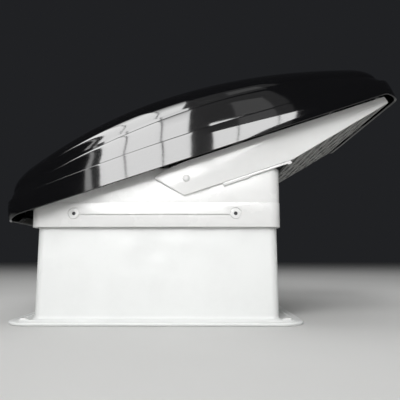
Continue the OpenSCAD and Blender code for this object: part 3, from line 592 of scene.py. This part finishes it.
LOUVER_ROWS, LOUVER_BANKS, LOUVER_FIRST, LOUVER_PITCH = 7, 5, 4, 23.4
PANEL_T, HOOD_SIDE, HOOD_SKIN, HOOD_HIGH, SLOT_LONG, HOOD_LONG = 2.4, 7, 1, 5.4, 12.5, 18.4
BANK = 2 * SHIELD_IN / LOUVER_BANKS


def louver_hood(u0, y0):
    """A sloping roof with a wall at each end, open at its lower end."""
    y_end = y0 + BANK - 2 * HOOD_SIDE
    roof = [(u0, HOOD_HIGH - HOOD_SKIN), (u0, HOOD_HIGH), (u0 + HOOD_LONG, PANEL_T - 0.1),
            (u0 + SLOT_LONG, PANEL_T + 0.1)]
    wall = [(u0, PANEL_T - 0.2), (u0, HOOD_HIGH), (u0 + HOOD_LONG, PANEL_T - 0.1)]
    parts = [(roof, y0, y_end), (wall, y0, y0 + HOOD_SKIN), (wall, y_end - HOOD_SKIN, y_end)]
    return together(*[loft([[(u, y, v) for u, v in outline] for y in ends]) for outline, *ends in parts])


def louver_sheet():
    us, ys, inset = [0.0], [-SHIELD_IN], HOOD_SIDE + HOOD_SKIN
    for i in range(LOUVER_ROWS):
        u0 = LOUVER_FIRST + LOUVER_PITCH * i
        us += [u0, u0 + SLOT_LONG]
    for k in range(LOUVER_BANKS):
        ys += [-SHIELD_IN + BANK * k + inset, -SHIELD_IN + BANK * (k + 1) - inset]
    return pierced(us + [PANEL_LONG], ys + [SHIELD_IN], lambda i, j: i % 2 == 1 and j % 2 == 1, 0, PANEL_T)


panel = together(louver_sheet(), *[
    louver_hood(LOUVER_FIRST + LOUVER_PITCH * i, -SHIELD_IN + BANK * k + HOOD_SIDE)
    for i in range(LOUVER_ROWS) for k in range(LOUVER_BANKS)])
piece("louvred_panel", ([on_panel(*p) for p in panel[0]], panel[1]), "shield", "louver_grey", ["louver_panel"],
      sharp=30)

# ---------------------------------------------------------------- the CAD nodes that stay

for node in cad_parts.values():
    slot = node.data.materials[0].name.split(".")[0]
    node.data.materials.clear()
    node.data.materials.append(MATERIALS[slot])

# ---------------------------------------------------------------- floor, light

FLOOR_HALF = 9
floor_mesh = bpy.data.meshes.new("floor")
floor_mesh.from_pydata([(FLOOR_HALF * x, FLOOR_HALF * y, 0) for x, y in ((-1, -1), (1, -1), (1, 1), (-1, 1))],
                       [], [(0, 1, 2, 3)])
floor = bpy.data.objects.new("floor", floor_mesh)
scene.collection.objects.link(floor)
n = Nodes("floor")
floor_mesh.materials.append(n.done(Base_Color=n.between(n.noise(3, 3), (0.60, 0.60, 0.59), (0.62, 0.62, 0.61)),
                                   Roughness=0.8))

scene.view_settings.view_transform = "Standard"
world = bpy.data.worlds.new("studio")
scene.world = world
world.use_nodes = True
world.node_tree.nodes["Background"].inputs["Color"].default_value = (0.0145, 0.0152, 0.017, 1)
world.node_tree.nodes["Background"].inputs["Strength"].default_value = 1.0


def lamp(name, centre, size, radiance, target=(0, 0, 0.15)):
    """A soft box of that radiance, facing target. It lights surfaces but isn't mirrored in them."""
    data = bpy.data.lights.new(name, "AREA")
    data.shape, data.size, data.size_y = "RECTANGLE", *size
    data.energy = radiance * math.pi * size[0] * size[1]
    light = bpy.data.objects.new(name, data)
    scene.collection.objects.link(light)
    light.location = centre
    facing = Vector(target) - Vector(centre)
    light.rotation_euler = facing.to_track_quat("-Z", "Y").to_euler()
    light.visible_glossy = False


WINDOW_Y, WALL_Y = -2.6, -2.7
PANE_GLOW = 11


def window(name, left, right, foot, head, radiance, y=WINDOW_Y, gap=0.0, fade=None):
    """A bright sheet that is only seen mirrored. Its sides are curves a + b z + c z**2 in metres, gap apart from
    their neighbours at z = 1 m. fade is the height from which it dims towards its head."""
    rows = []
    for z in np.linspace(0, 1, 17) ** 1.5:
        at = [f + z * (h - f) for f, h in zip(foot, head)]
        sides = [curve[0] + curve[1] * h + curve[2] * h**2 + side * gap * (0.5 + 0.5 * h)
                 for curve, h, side in zip((left, right), at, (0.5, -0.5))]
        rows.append([(x, y, h) for x, h in zip(sides, at)])
    mesh = bpy.data.meshes.new(name)
    mesh.from_pydata([p for row in rows for p in row], [],
                     [(2 * k, 2 * k + 1, 2 * k + 3, 2 * k + 2) for k in range(len(rows) - 1)])
    made = bpy.data.objects.new(name, mesh)
    scene.collection.objects.link(made)
    n = Nodes(name)
    strength = radiance
    if fade:
        height = n.make("ShaderNodeSeparateXYZ", {"Vector": n.coords}).outputs["Z"]
        strength = n.make("ShaderNodeMapRange", {"Value": height, "From Min": fade, "From Max": max(head),
                                                 "To Min": radiance, "To Max": 0.0}).outputs["Result"]
    glow = n.make("ShaderNodeEmission", {"Strength": strength})
    n.make("ShaderNodeOutputMaterial", {"Surface": glow.outputs["Emission"]})
    mesh.materials.append(n.material)
    made.visible_camera = made.visible_diffuse = made.visible_shadow = False


# Sides of the windows that the lid mirrors, from left to right. foot and head give the heights of the two lower
# corners and of the two upper ones.
SIDES = [(-0.53, -0.27, -0.065), (-0.48, -0.27, -0.065), (-0.44, -0.25, -0.065), (-0.25, -0.27, -0.04),
         (-0.02, -0.24, -0.025), (0.18, -0.26, 0), (0.32, -0.25, 0), (0.45, -0.205, 0), (0.70, -0.175, 0),
         (0.77, -0.135, 0)]
window("window_strip", SIDES[0], SIDES[1], (0.5, 0.5), (6, 6), 3.5, fade=4)
window("window_1", SIDES[2], SIDES[3], (0.45, 0.45), (8, 8), PANE_GLOW, gap=0.01, fade=6)
window("window_2", SIDES[3], SIDES[4], (0.45, 0.5), (8, 7), PANE_GLOW, gap=0.01, fade=4)
window("window_3", SIDES[4], SIDES[5], (0.5, 0.6), (5, 5), PANE_GLOW, gap=0.01, fade=2.2)
window("window_4", SIDES[6], SIDES[7], (0.7, 0.85), (1.6, 1.6), PANE_GLOW, gap=0.008)
window("window_5", SIDES[7], SIDES[8], (0.85, 1.1), (1.6, 1.6), PANE_GLOW, gap=0.008)
window("window_6", SIDES[8], SIDES[9], (1.1, 1.2), (1.6, 1.6), PANE_GLOW, gap=0.008)
window("window_dim", SIDES[7], SIDES[8], (1.65, 1.65), (2.6, 2.6), 0.8, gap=0.01)
window("wall", SIDES[0], SIDES[9], (0.4, 0.4), (4, 4), 0.28, y=WALL_Y)
lamp("key", (-0.75, -2.6, 2.2), (1.0, 2.6), 8.6)
lamp("fill", (0.45, -2.6, 1.5), (0.8, 1.4), 7)
lamp("overhead", (0.2, 0.2, 2.8), (3.0, 3.0), 1.4, target=(0, 0, 0))
